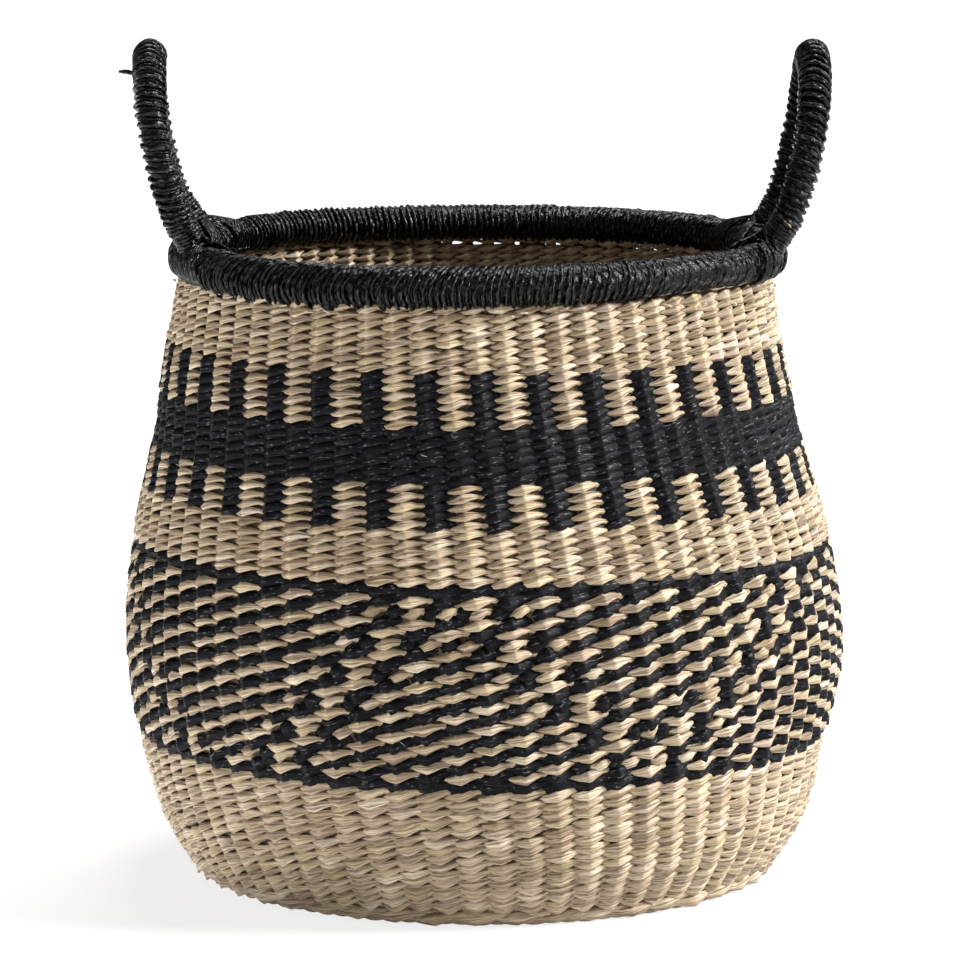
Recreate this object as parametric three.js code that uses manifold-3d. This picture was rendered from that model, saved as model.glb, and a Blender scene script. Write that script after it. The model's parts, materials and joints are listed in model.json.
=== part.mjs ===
// A twined seagrass belly basket with a black lashed rim and two wrapped handles.
// Millimetres, +Z up. The origin is on the floor, under the middle of the basket.

import * as THREE from "three";
import { mergeVertices } from "three/addons/utils/BufferGeometryUtils.js";
import Module from "manifold-3d";

// Driving sizes of the whole basket.
const bellyDiameter = 360;
const footDiameter = 284;
const mouthDiameter = 286; // between the middles of the rim on both sides
const wallHeight = 300; // from the floor to the underside of the rim
const bellyHeight = 115; // where the wall is widest
const wallTopDiameter = 293;
const rimDiameter = 21; // thickness of the lashed rim
const hoopRadius = 4;
const rimSlotAngle = THREE.MathUtils.degToRad(27); // half of the rim's opening below, for the wall
const stakeCount = 76;

// The three layers of the wall, from the outside in.
const strandThickness = 2.4;
const stakeThickness = 2.2;
const stakeWidth = 5;
const outerClearance = 1.1; // strands to the edges of the stakes, inside the flats of the wall
const innerClearance = 0.4;
const pieceGap = 0.3;

// The bands of colour, as heights from the top of the wall down.
const topNaturalHeight = 32;
const upperToothHeight = 25.5;
const blackHeight = 25.5;
const lowerToothHeight = 21;
const middleNaturalHeight = 26;
const borderHeight = 4.6;
const patternedHeight = 90;

// The columns of the weave lean: they turn by this much over the wall's whole height.
const columnLean = THREE.MathUtils.degToRad(-8.5);
const firstColumnAngle = THREE.MathUtils.degToRad(-92.8);
const columnMiddleShare = 0.5; // a stake stands in the middle of its column

const wallSides = stakeCount / 2;
const bellyRadius = bellyDiameter / 2;
const footRadius = footDiameter / 2;
const wallTopRadius = wallTopDiameter / 2;
const mouthRadius = mouthDiameter / 2;
const rimRadius = rimDiameter / 2;

const natural = new THREE.Color(0xc9b48f);
const naturalShade = new THREE.Color(0xb39c77);
const black = new THREE.Color(0x1b1a20);
const cane = new THREE.Color(0xa98a5c);

const group = new THREE.Group();
const wasm = await Module();
wasm.setup();

function finish(colour, roughness) {
  return new THREE.MeshStandardMaterial({ color: colour, roughness, metalness: 0 });
}

function addMesh(parent, name, geometry, material) {
  const mesh = new THREE.Mesh(geometry, material);
  mesh.name = name;
  parent.add(mesh);
  return mesh;
}

// A closed surface from its corners and its faces, each face a list of corners that runs
// anticlockwise as seen from outside.
function closedGeometry(corners, faces) {
  const geometry = new THREE.BufferGeometry();
  geometry.setAttribute("position", new THREE.Float32BufferAttribute(corners.flatMap((p) => [p.x, p.y, p.z]), 3));
  const triangles = faces.flatMap((f) => f.slice(2).flatMap((_, i) => [f[0], f[i + 1], f[i + 2]]));
  geometry.setIndex(triangles);
  geometry.computeVertexNormals();
  return geometry;
}

// A solid that is turned about the upright axis from an outline of [radius, height], which starts
// and ends on the axis. A ring's outline closes on itself instead.
function turned(outline, sides) {
  const geometry = new THREE.LatheGeometry(outline.map(([r, z]) => new THREE.Vector2(r, z)), sides);
  geometry.rotateX(Math.PI / 2);
  return geometry;
}

function turnedRing(outline, sides) {
  return turned([...outline, outline[0]], sides);
}

// The wall's outer profile. Below the belly it swells from the foot, above it draws in to the mouth.
const swellShares = [[0, 0], [0.09, 0.27], [0.26, 0.56], [0.6, 0.84], [1, 1]];
const drawInShares = [[0.295, 0.83], [0.551, 0.49], [1, 0]];
const wallProfile = [
  ...swellShares.map(([up, out]) => [up * bellyHeight, footRadius + out * (bellyRadius - footRadius)]),
  ...drawInShares.map(([up, out]) => [
    bellyHeight + up * (wallHeight - bellyHeight),
    wallTopRadius + out * (bellyRadius - wallTopRadius),
  ]),
];

function wallRadius(z) {
  const next = Math.max(1, wallProfile.findIndex(([height]) => height >= z));
  const [z0, r0] = wallProfile[next - 1];
  const [z1, r1] = wallProfile[next];
  return r0 + ((r1 - r0) * (z - z0)) / (z1 - z0);
}

// The heights at which a sheet between two heights has its corners.
function wallHeights(from, to) {
  const between = wallProfile.map(([height]) => height).filter((z) => z > from + pieceGap && z < to - pieceGap);
  return [from, ...between, to];
}

function columnAngle(column, z) {
  return firstColumnAngle + (column * 2 * Math.PI) / stakeCount + (columnLean * z) / wallHeight;
}

function onWall(angle, z, inset) {
  const radius = wallRadius(z) - inset;
  return new THREE.Vector3(radius * Math.cos(angle), radius * Math.sin(angle), z);
}

// A band of twining is a sheet of strands on the outside of the stakes.
function plainBand(from, to) {
  const heights = wallHeights(from, to);
  const outside = heights.map((z) => [wallRadius(z), z]);
  const inside = heights.map((z) => [wallRadius(z) - strandThickness, z]).reverse();
  return turnedRing([...outside, ...inside], wallSides);
}

// A band whose edges have teeth, one stake wide, on every second column. Its ring runs between
// two heights, and its teeth reach up or down past the ring, where they are given a height.
function toothedBand({ from, to, toothColumn, teethUpTo = to, teethDownTo = from }) {
  const heights = [];
  if (teethDownTo < from) {
    heights.push(teethDownTo);
  }
  const ringStart = heights.length;
  heights.push(...wallHeights(from, to));
  const ringEnd = heights.length - 1;
  if (teethUpTo > to) {
    heights.push(teethUpTo);
  }
  const rows = heights.length - 1;
  const corners = [];
  const index = (line, row, layer) => ((line % stakeCount) * heights.length + row) * 2 + layer;
  for (let line = 0; line < stakeCount; line += 1) {
    const side = line % 2 === 0 ? 1 : -1;
    heights.forEach((z) => {
      const angle = columnAngle(toothColumn + line, z) + (side * pieceGap) / 2 / wallRadius(z);
      corners.push(onWall(angle, z, 0), onWall(angle, z, strandThickness));
    });
  }
  const filled = (line, row) =>
    row >= 0 && row < rows && ((row >= ringStart && row < ringEnd) || (line + stakeCount) % 2 === 0);
  const faces = [];
  for (let line = 0; line < stakeCount; line += 1) {
    for (let row = 0; row < rows; row += 1) {
      if (!filled(line, row)) {
        continue;
      }
      const corner = (across, up, layer) => index(line + across, row + up, layer);
      faces.push([corner(0, 0, 0), corner(1, 0, 0), corner(1, 1, 0), corner(0, 1, 0)]);
      faces.push([corner(0, 0, 1), corner(0, 1, 1), corner(1, 1, 1), corner(1, 0, 1)]);
      if (!filled(line, row + 1)) {
        faces.push([corner(0, 1, 0), corner(1, 1, 0), corner(1, 1, 1), corner(0, 1, 1)]);
      }
      if (!filled(line, row - 1)) {
        faces.push([corner(0, 0, 1), corner(1, 0, 1), corner(1, 0, 0), corner(0, 0, 0)]);
      }
      if (!filled(line + 1, row)) {
        faces.push([corner(1, 0, 0), corner(1, 0, 1), corner(1, 1, 1), corner(1, 1, 0)]);
      }
      if (!filled(line - 1, row)) {
        faces.push([corner(0, 0, 1), corner(0, 0, 0), corner(0, 1, 0), corner(0, 1, 1)]);
      }
    }
  }
  return mergeUnused(corners, faces);
}

// Leaves out the corners that no face uses.
function mergeUnused(corners, faces) {
  const used = [...new Set(faces.flat())];
  const place = new Map(used.map((corner, i) => [corner, i]));
  return closedGeometry(used.map((corner) => corners[corner]), faces.map((f) => f.map((c) => place.get(c))));
}

// The levels between the bands, from the top of the wall down.
const toothTop = wallHeight - topNaturalHeight;
const blackTop = toothTop - upperToothHeight;
const blackBottom = blackTop - blackHeight;
const toothBottom = blackBottom - lowerToothHeight;
const upperBorderTop = toothBottom - middleNaturalHeight;
const upperBorderBottom = upperBorderTop - borderHeight;
const lowerBorderTop = upperBorderBottom - patternedHeight;
const lowerBorderBottom = lowerBorderTop - borderHeight;
const halfGap = pieceGap / 2;

// The base: a woven disc, the crossed spokes on it, and round them the twisted foot wale.
const baseThickness = 2.6;
const waleWidth = 5.4;
const waleHeight = 5.8;
const waleCorner = 1.4;
const spokeThickness = 2.4;
const spokeWidth = 4;
const spokeCount = stakeCount / 2;
const baseRadius = footRadius + strandThickness - waleWidth - pieceGap;

const disc = [[0, 0], [baseRadius, 0], [baseRadius, baseThickness], [0, baseThickness]];
addMesh(group, "base_weave", turned(disc, wallSides), finish(naturalShade, 0.8));

const waleInside = baseRadius + pieceGap;
const waleOutside = waleInside + waleWidth;
const wale = [
  [waleInside, 0],
  [waleOutside - waleCorner, 0],
  [waleOutside, waleHeight / 2],
  [waleOutside - waleCorner, waleHeight],
  [waleInside + waleCorner, waleHeight],
];
addMesh(group, "foot_wale", turnedRing(wale, wallSides), finish(naturalShade, 0.8));

// The spokes cross in the middle of the base, so together they are one star.
const spokeReach = baseRadius - 2 * pieceGap;
const spokeBottom = baseThickness + pieceGap;
const hubRadius = (spokeCount * spokeWidth) / (2 * Math.PI) + spokeWidth / 2;
const star = new THREE.Shape();
for (let spoke = 0; spoke < spokeCount; spoke += 1) {
  const angle = columnAngle(2 * spoke + columnMiddleShare, 0);
  const tipTurn = Math.asin(spokeWidth / 2 / spokeReach);
  const hubTurn = Math.asin(spokeWidth / 2 / hubRadius);
  [[hubRadius, -hubTurn], [spokeReach, -tipTurn], [spokeReach, tipTurn], [hubRadius, hubTurn]].forEach(
    ([radius, turn], i) => {
      const x = radius * Math.cos(angle + turn);
      const y = radius * Math.sin(angle + turn);
      if (spoke === 0 && i === 0) {
        star.moveTo(x, y);
      } else {
        star.lineTo(x, y);
      }
    },
  );
}
const starGeometry = new THREE.ExtrudeGeometry(star, { depth: spokeThickness, bevelEnabled: false });
addMesh(group, "base_spokes", starGeometry, finish(cane, 0.7)).position.z = spokeBottom;

// The inner face of the weave: one bowl of strands that lines the spokes and the stakes.
const stakeInset = strandThickness + outerClearance;
const liningInset = stakeInset + stakeThickness + innerClearance;
const liningBottom = Math.max(spokeBottom + spokeThickness, waleHeight) + 2 * pieceGap;
const liningFloor = liningBottom + strandThickness;
const liningHeights = wallHeights(liningFloor + strandThickness, wallHeight);
const liningCornerRadius = wallRadius(liningBottom) - liningInset;
const lining = [
  [0, liningBottom],
  [liningCornerRadius, liningBottom],
  ...liningHeights.map((z) => [wallRadius(z) - liningInset, z]),
  ...liningHeights.map((z) => [wallRadius(z) - liningInset - strandThickness, z]).reverse(),
  [liningCornerRadius - strandThickness, liningFloor],
  [0, liningFloor],
];
addMesh(group, "inner_weave", turned(lining, wallSides), finish(natural, 0.8));

// The side stakes: split canes, round side outwards, joined by the course that sets them upright.
// Their tips stand up into the rim, under its hoop. The rim sits on the top edge of the wall.
const rimHeight = wallHeight + pieceGap + rimRadius * Math.cos(rimSlotAngle);
const stakeBottom = liningBottom + pieceGap;
const stakeTop = rimHeight - hoopRadius - 2 * pieceGap;
const stakeHeights = wallHeights(stakeBottom, wallHeight);
const stakeLevels = stakeHeights.length;
const stakeCorners = [];
for (let column = 0; column < stakeCount; column += 1) {
  stakeHeights.forEach((z, level) => {
    const angle = columnAngle(column + columnMiddleShare, z);
    const half = stakeWidth / 2 / wallRadius(z);
    const height = level === stakeLevels - 1 ? stakeTop : z;
    stakeCorners.push(
      onWall(angle - half, z, stakeInset + stakeThickness).setZ(height),
      onWall(angle, z, stakeInset).setZ(height),
      onWall(angle + half, z, stakeInset + stakeThickness).setZ(height),
    );
  });
}
const [left, round, right] = [0, 1, 2];
const stakeCorner = (column, level, corner) => ((column % stakeCount) * stakeLevels + level) * 3 + corner;
const stakeFaces = [];
for (let column = 0; column < stakeCount; column += 1) {
  const own = (level, corner) => stakeCorner(column, level, corner);
  const next = (level, corner) => stakeCorner(column + 1, level, corner);
  const top = stakeLevels - 1;
  stakeFaces.push([own(top, left), own(top, round), own(top, right)]);
  stakeFaces.push([own(0, left), own(0, right), own(0, round)]);
  stakeFaces.push([own(0, round), own(0, right), next(0, left), next(0, round)]);
  stakeFaces.push([own(1, round), next(1, round), next(1, left), own(1, right)]);
  stakeFaces.push([own(0, round), next(0, round), next(1, round), own(1, round)]);
  stakeFaces.push([own(0, right), own(1, right), next(1, left), next(0, left)]);
  for (let level = 0; level < top; level += 1) {
    stakeFaces.push([own(level, left), own(level + 1, left), own(level + 1, right), own(level, right)]);
    if (level > 0) {
      stakeFaces.push([own(level, left), own(level, round), own(level + 1, round), own(level + 1, left)]);
      stakeFaces.push([own(level, round), own(level, right), own(level + 1, right), own(level + 1, round)]);
    }
  }
}
addMesh(group, "side_stakes", closedGeometry(stakeCorners, stakeFaces), finish(cane, 0.7));

// The strands on the outside of the wall, band by band.
const bands = [
  ["lower_natural_band", waleHeight + pieceGap, lowerBorderBottom - halfGap, natural],
  ["lower_black_border", lowerBorderBottom + halfGap, lowerBorderTop - halfGap, black],
  ["patterned_belly_band", lowerBorderTop + halfGap, upperBorderBottom - halfGap, naturalShade],
  ["upper_black_border", upperBorderBottom + halfGap, upperBorderTop - halfGap, black],
];
bands.forEach(([name, from, to, colour]) => addMesh(group, name, plainBand(from, to), finish(colour, 0.75)));

const [blackTooth, naturalTooth] = [0, 1];
const middleBand = toothedBand({
  from: upperBorderTop + halfGap,
  to: toothBottom - halfGap,
  toothColumn: naturalTooth,
  teethUpTo: blackBottom - halfGap,
});
addMesh(group, "middle_natural_band", middleBand, finish(natural, 0.75));
const blackBand = toothedBand({
  from: blackBottom + halfGap,
  to: blackTop - halfGap,
  toothColumn: blackTooth,
  teethUpTo: toothTop - halfGap,
  teethDownTo: toothBottom + halfGap,
});
addMesh(group, "black_toothed_band", blackBand, finish(black, 0.6));
const topBand = toothedBand({
  from: toothTop + halfGap,
  to: wallHeight,
  toothColumn: naturalTooth,
  teethDownTo: blackTop + halfGap,
});
addMesh(group, "top_natural_band", topBand, finish(natural, 0.75));

// The rim: a stiff hoop over the tips of the stakes, and the black lashing wound round it.
// The lashing is open below, where the wall comes up into it. It is wound thinner at the four
// places where a handle's leg is bound on.
const hoopSides = 6;
const hoop = [];
for (let side = 0; side < hoopSides; side += 1) {
  const angle = (side / hoopSides) * 2 * Math.PI;
  hoop.push([mouthRadius + hoopRadius * Math.cos(angle), rimHeight + hoopRadius * Math.sin(angle)]);
}
addMesh(group, "rim_hoop", turnedRing(hoop, wallSides), finish(cane, 0.7));

const lashingRibs = stakeCount;
const ribHeight = 0.9;
const hoopFlat = mouthRadius * (1 - Math.cos(Math.PI / wallSides)); // how far its straight sides cut in
const rimPoints = 6;
const borePoints = 5;

// One open ring of points round a rod's middle. It goes from one lip of the slot over the top
// to the other lip on the outside, and back on the inside, where its flats clear the rod.
function slottedRing(outside, outerPoints, rod, innerPoints, slotAngle, place) {
  const sweep = 2 * (Math.PI - slotAngle);
  const turn = (share) => -Math.PI / 2 + slotAngle + share * sweep;
  const inside = rod / Math.cos(sweep / (innerPoints - 1) / 2);
  const points = [];
  for (let i = 0; i < outerPoints; i += 1) {
    points.push(place(turn(i / (outerPoints - 1)), outside));
  }
  for (let i = innerPoints - 1; i >= 0; i -= 1) {
    points.push(place(turn(i / (innerPoints - 1)), inside));
  }
  return points;
}

// The faces of a surface through rings of points, closed on itself or with flat ends left open.
function throughRings(rings, endless, first = 0, inwards = false) {
  const size = rings[0].length;
  const faces = [];
  const spans = endless ? rings.length : rings.length - 1;
  for (let ring = 0; ring < spans; ring += 1) {
    const here = first + ring * size;
    const there = first + ((ring + 1) % rings.length) * size;
    for (let point = 0; point < size; point += 1) {
      const after = (point + 1) % size;
      const face = [here + point, there + point, there + after, here + after];
      faces.push(inwards ? face.reverse() : face);
    }
  }
  return faces;
}

// A point of a section that stands across the rim: angle round the basket, turn round the rim.
function onRim(angle, turn, radius) {
  const out = mouthRadius + radius * Math.cos(turn);
  return new THREE.Vector3(out * Math.cos(angle), out * Math.sin(angle), rimHeight + radius * Math.sin(turn));
}

// Where the legs of the handles stand, as angles round the basket.
const legSpread = 76; // between the feet of one handle's legs
const footAngle = Math.asin(legSpread / 2 / mouthRadius);
const handleSides = { right: 0, left: Math.PI };
const footAngles = Object.values(handleSides).flatMap((middle) => [middle - footAngle, middle + footAngle]);

const waistRadius = 8.2;
const bindingLength = 19; // along the rim
const rimStep = (2 * Math.PI) / (2 * lashingRibs);
const waistReach = bindingLength / 2 / mouthRadius + rimStep;
const angleBetween = (a, b) => Math.abs(Math.atan2(Math.sin(a - b), Math.cos(a - b)));
const rimRings = [];
for (let ring = 0; ring < 2 * lashingRibs; ring += 1) {
  const angle = columnAngle(ring / 2, wallHeight);
  const bound = footAngles.some((foot) => angleBetween(angle, foot) < waistReach);
  const wound = rimRadius - (ring % 2 === 0 ? 0 : ribHeight);
  const place = (turn, radius) => onRim(angle, turn, radius);
  const rod = hoopRadius + hoopFlat + pieceGap;
  rimRings.push(slottedRing(bound ? waistRadius : wound, rimPoints, rod, borePoints, rimSlotAngle, place));
}
const rimLashing = closedGeometry(rimRings.flat(), throughRings(rimRings, true));
addMesh(group, "rim_lashing", rimLashing, finish(black, 0.5));

// The handles: each a stiff bundle bent to an arch, wound from foot to foot with black cord.
// A leg leaves the rim square to it, on its outer shoulder, and the arch leans outwards.
const handleHeight = 106.8; // from the rim's middle to the top of the arch
const archHalfWidth = 44;
const archShoulder = 42; // from the rim's middle up to where the arch starts to close
const handleLean = 14; // how far the top stands out past the legs' straight feet
const footTilt = THREE.MathUtils.degToRad(31);
const footStraight = 16;
const handleThickness = 16.5;
const legThickness = 14.5;
const coreRadius = 3.6;
const handleRibs = 24;
const handlePoints = 7;
const footGap = 0.5;
const archSteps = 3;

const footOut = (angle) => new THREE.Vector3(Math.cos(angle), Math.sin(angle), 0);
const rimMiddle = (angle) => footOut(angle).multiplyScalar(mouthRadius).setZ(rimHeight);
const legDirection = (angle) => footOut(angle).multiplyScalar(Math.sin(footTilt)).setZ(Math.cos(footTilt));
const legPoint = (angle, along) => rimMiddle(angle).addScaledVector(legDirection(angle), along);

const footStart = waistRadius + footGap;
const legEnd = legPoint(footAngle, footStart + footStraight);
const archTop = rimHeight + handleHeight - handleThickness / 2;
const archMiddle = rimHeight + archShoulder;
function archPoint(turn) {
  const height = archMiddle + (archTop - archMiddle) * Math.sin(turn);
  const share = (height - legEnd.z) / (archTop - legEnd.z);
  const out = legEnd.x + handleLean * (1 - (1 - share) ** 2);
  return new THREE.Vector3(out, archHalfWidth * Math.cos(turn), height);
}
const halfArch = [0, 0.5, 1].map((share) => legPoint(footAngle, footStart + share * footStraight));
for (let step = 0; step < archSteps; step += 1) {
  halfArch.push(archPoint((step / archSteps) * (Math.PI / 2)));
}
const mirrored = halfArch.map((p) => new THREE.Vector3(p.x, -p.y, p.z));
const handlePath = new THREE.CatmullRomCurve3([...mirrored, archPoint(Math.PI / 2), ...halfArch.reverse()]);
const handleFrames = handlePath.computeFrenetFrames(2 * handleRibs, false);

function handleRing(ring, radius) {
  const middle = handlePath.getPointAt(ring / (2 * handleRibs));
  const points = [];
  for (let i = 0; i < handlePoints; i += 1) {
    const turn = (i / handlePoints) * 2 * Math.PI;
    const point = middle.clone();
    point.addScaledVector(handleFrames.normals[ring], radius * Math.cos(turn));
    point.addScaledVector(handleFrames.binormals[ring], radius * Math.sin(turn));
    points.push(point);
  }
  return points;
}

function handleWrap() {
  const rings = [];
  const bore = [];
  const boreRadius = (coreRadius + 2 * pieceGap) / Math.cos(Math.PI / handlePoints);
  for (let ring = 0; ring <= 2 * handleRibs; ring += 1) {
    const swell = Math.sin((Math.PI * ring) / (2 * handleRibs));
    const crest = (legThickness + (handleThickness - legThickness) * swell) / 2;
    rings.push(handleRing(ring, crest - (ring % 2 === 0 ? ribHeight : 0)));
    if (ring % 2 === 0) {
      bore.push(handleRing(ring, boreRadius));
    }
  }
  const outer = rings.flat();
  const faces = [...throughRings(rings, false, 0, true), ...throughRings(bore, false, outer.length)];
  const lastOuter = outer.length - handlePoints;
  const lastInner = outer.length + (bore.length - 1) * handlePoints;
  for (let i = 0; i < handlePoints; i += 1) {
    const after = (i + 1) % handlePoints;
    faces.push([after, i, outer.length + i, outer.length + after]);
    faces.push([lastOuter + i, lastOuter + after, lastInner + after, lastInner + i]);
  }
  return closedGeometry([...outer, ...bore.flat()], faces);
}

function handleCore() {
  const section = new THREE.Shape(new THREE.EllipseCurve(0, 0, coreRadius, coreRadius).getPoints(hoopSides).slice(1));
  return new THREE.ExtrudeGeometry(section, { steps: handleRibs, extrudePath: handlePath });
}

function solidOf(geometry) {
  const bare = geometry.clone();
  bare.deleteAttribute("normal");
  bare.deleteAttribute("uv");
  const merged = mergeVertices(bare);
  const vertProperties = new Float32Array(merged.attributes.position.array);
  return new wasm.Manifold(new wasm.Mesh({ numProp: 3, vertProperties, triVerts: new Uint32Array(merged.index.array) }));
}

function geometryOf(solid) {
  const { vertProperties, triVerts } = solid.getMesh();
  const geometry = new THREE.BufferGeometry();
  geometry.setAttribute("position", new THREE.BufferAttribute(vertProperties, 3));
  geometry.setIndex(new THREE.BufferAttribute(triVerts, 1));
  geometry.computeVertexNormals();
  return geometry;
}

// The binding at the foot of a leg: a few thick turns round the rim on both sides of the leg,
// which comes up through them. It is open below, so that it can roll on the rim past the wall.
const bindingClearance = 1;
const bindingThickness = 2.6;
const bindingSlotAngle = THREE.MathUtils.degToRad(52);
const bindingRibs = 4;
const bindingPoints = 7;
const cutOverrun = 3;

function binding(angle) {
  const rings = [];
  for (let ring = 0; ring <= 2 * bindingRibs; ring += 1) {
    const along = angle + ((ring / bindingRibs - 1) * bindingLength) / 2 / mouthRadius;
    const rod = waistRadius + bindingClearance;
    const outside = rod + bindingThickness - (ring % 2 === 0 ? ribHeight : 0);
    const place = (turn, radius) => onRim(along, turn, radius);
    rings.push(slottedRing(outside, bindingPoints, rod, bindingPoints, bindingSlotAngle, place));
  }
  const faces = throughRings(rings, false);
  const size = rings[0].length;
  const end = size * (rings.length - 1);
  for (let i = 0; i < bindingPoints - 1; i += 1) {
    faces.push([i, i + 1, size - 2 - i, size - 1 - i]);
    faces.push([end + i + 1, end + i, end + size - 1 - i, end + size - 2 - i]);
  }
  const turns = solidOf(closedGeometry(rings.flat(), faces));
  const holeLength = bindingThickness + 2 * cutOverrun;
  const hole = new THREE.CylinderGeometry(
    legThickness / 2 + pieceGap, legThickness / 2 + pieceGap, holeLength, 2 * handlePoints,
  );
  hole.applyQuaternion(new THREE.Quaternion().setFromUnitVectors(new THREE.Vector3(0, 1, 0), legDirection(angle)));
  const middle = legPoint(angle, waistRadius - cutOverrun + holeLength / 2);
  hole.translate(middle.x, middle.y, middle.z);
  return geometryOf(turns.subtract(solidOf(hole)));
}

Object.entries(handleSides).forEach(([side, turn]) => {
  const handle = new THREE.Group();
  handle.rotation.z = turn;
  group.add(handle);
  addMesh(handle, `handle_core_${side}`, handleCore(), finish(cane, 0.7));
  addMesh(handle, `handle_wrap_${side}`, handleWrap(), finish(black, 0.5));
  const [towardsFront, towardsBack] = side === "right" ? [-footAngle, footAngle] : [footAngle, -footAngle];
  addMesh(handle, `root_binding_${side}_front`, binding(towardsFront), finish(black, 0.5));
  addMesh(handle, `root_binding_${side}_back`, binding(towardsBack), finish(black, 0.5));
});

export default group;
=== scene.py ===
import json
import math

import bpy
import numpy as np
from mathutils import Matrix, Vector


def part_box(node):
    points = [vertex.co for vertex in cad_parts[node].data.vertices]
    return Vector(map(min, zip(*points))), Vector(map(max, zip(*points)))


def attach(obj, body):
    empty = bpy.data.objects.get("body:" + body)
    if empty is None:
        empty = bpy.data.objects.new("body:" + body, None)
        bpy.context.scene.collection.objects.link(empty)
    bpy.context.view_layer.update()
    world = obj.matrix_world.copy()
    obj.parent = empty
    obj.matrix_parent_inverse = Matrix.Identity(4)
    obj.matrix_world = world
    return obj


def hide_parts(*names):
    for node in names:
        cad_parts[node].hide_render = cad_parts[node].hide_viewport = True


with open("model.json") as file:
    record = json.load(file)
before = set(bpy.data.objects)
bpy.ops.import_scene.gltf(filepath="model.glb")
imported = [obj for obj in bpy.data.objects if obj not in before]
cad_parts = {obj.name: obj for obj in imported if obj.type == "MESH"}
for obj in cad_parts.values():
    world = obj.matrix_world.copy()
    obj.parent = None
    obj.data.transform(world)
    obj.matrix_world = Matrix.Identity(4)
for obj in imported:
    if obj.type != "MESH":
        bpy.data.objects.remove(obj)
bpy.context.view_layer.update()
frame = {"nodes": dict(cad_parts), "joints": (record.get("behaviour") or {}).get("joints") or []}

# The base. Undyed seagrass is twined in rings round crossed cane spokes, from the middle out.
# Two strands go round together: one passes under a spoke while the other passes over it, and
# they cross between the spokes.

spoke_count = 38
stake_count = 2 * spoke_count
foot_radius = 0.142

# Where the columns of the weave stand, and how the basket sways from its axis as it rises.
first_column = math.radians(-92.8)
column_lean = math.radians(-8.5)  # over the wall's whole height
column_spread = 0.07  # the columns stand wider apart in front than behind
widest_column = math.radians(-80)
wall_top = 0.300
sway_heights = (0, 0.03, 0.065, 0.105, 0.14, 0.17, 0.26, 0.30)
sway_aside = (0.0006, 0.0016, 0.0004, 0.0018, 0.0012, 0, -0.0036, -0.0030)

# A strand, and the stitches that it makes over the stakes.
sheet_middle = 0.0043  # from the outer face of the weave to the middle of the stakes
strand_bulge = 0.0036
strand_depth = 0.0012
strand_edge = 1.35  # 1 for an oval strand, more for a lens with sharper edges
shingle_angle = math.radians(14)  # a stitch's lower edge stands out over the course below
strand_places = (0, 0.22, 0.455, 0.495, 0.505, 0.545, 0.78)  # from one stake to the next
strand_sides = 6
tip_overlap = 0.0005  # a stitch's right tip lies over the next one's left tip
inner_reach = 0.6  # columns, from the stake to a stitch's tips on the inside
inner_bulge = 0.6  # of the bulge outside
tip_lean = 0.12  # how much fuller a stitch is on its right half
slip_length = 4  # columns
# How much stitches differ in height and rise, as shares of the pitch, in bulge, in roll (radians)
# and in width, as a share of the pitch. Tones run from 0 for dark to 1 for light.
stitch_spreads = (0.07, 0.03, 0.0003, 0.08, 0.06)
wander_share = 0.06  # of the pitch, for a whole course
tone_spread = 0.15
bright_share, bright_tone = 0.04, 0.85
# course() says what the numbers of a look are.
plain_look = (0.69, 0.07, 0.29, 0.72, 0.5, 0.15)
tight_look = (0.80, 0.22, 0.28, 0.82, 0.5, 0.15)


class Socket:
    """An output of a shader node. Arithmetic on it adds Math nodes."""

    def __init__(self, tree, out=None):
        self.tree = tree
        self.out = out

    def node(self, kind, settings=None, inputs=None, output=0):
        """A new node's output. Its settings come first, then its sockets' values or wires."""
        made = self.tree.nodes.new(kind)
        for name, value in (settings or {}).items():
            if name == "stops":
                ramp = made.color_ramp.elements
                while len(ramp) < len(value):
                    ramp.new(0.5)
                for element, (place, colour) in zip(ramp, value):
                    element.position, element.color = place, (*colour, 1)
            else:
                setattr(made, name, value)
        for name, value in (inputs or {}).items():
            if isinstance(value, Socket):
                self.tree.links.new(value.out, made.inputs[name])
            else:
                made.inputs[name].default_value = value
        return Socket(self.tree, made.outputs[output])

    def math(self, operation, first, second=0):
        return self.node("ShaderNodeMath", {"operation": operation}, {0: first, 1: second})

    def __add__(self, other):
        return self.math("ADD", self, other)

    def __sub__(self, other):
        return self.math("SUBTRACT", self, other)

    def __rsub__(self, other):
        return self.math("SUBTRACT", other, self)

    def __mul__(self, other):
        return self.math("MULTIPLY", self, other)

    __radd__ = __add__
    __rmul__ = __mul__

    def between(self, low, high):
        """How far this value is from low to high, from 0 to 1."""
        sockets = {"Value": self, "From Min": low, "From Max": high}
        return self.node("ShaderNodeMapRange", {"interpolation_type": "SMOOTHSTEP"}, sockets)

    def mix(self, share, first, second, blend="MIX"):
        """A colour between two, as far as the share says."""
        settings = {"data_type": "RGBA", "blend_type": blend}
        return self.node("ShaderNodeMix", settings, {0: share, 6: first, 7: second}, 2)

    def noise(self, scale, detail, roughness, dimensions="3D"):
        """Noise over this vector, with its own scale along each axis."""
        stretched = self.node("ShaderNodeVectorMath", {"operation": "MULTIPLY"}, {0: self, 1: scale})
        sockets = {"Vector": stretched, "Scale": 1.0, "Detail": detail, "Roughness": roughness}
        return self.node("ShaderNodeTexNoise", {"noise_dimensions": dimensions}, sockets)


def new_finish(name, roughness, specular):
    """A bare material. Gives it, a start for its nodes, and its shader node."""
    material = bpy.data.materials.new(name)
    material.use_nodes = True
    shader = material.node_tree.nodes["Principled BSDF"]
    shader.inputs["Roughness"].default_value = roughness
    shader.inputs["Specular IOR Level"].default_value = specular
    return material, Socket(material.node_tree), shader


def feed(shader, name, wire):
    """Links a wire to a socket of the shader."""
    wire.tree.links.new(wire.out, shader.inputs[name])


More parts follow.
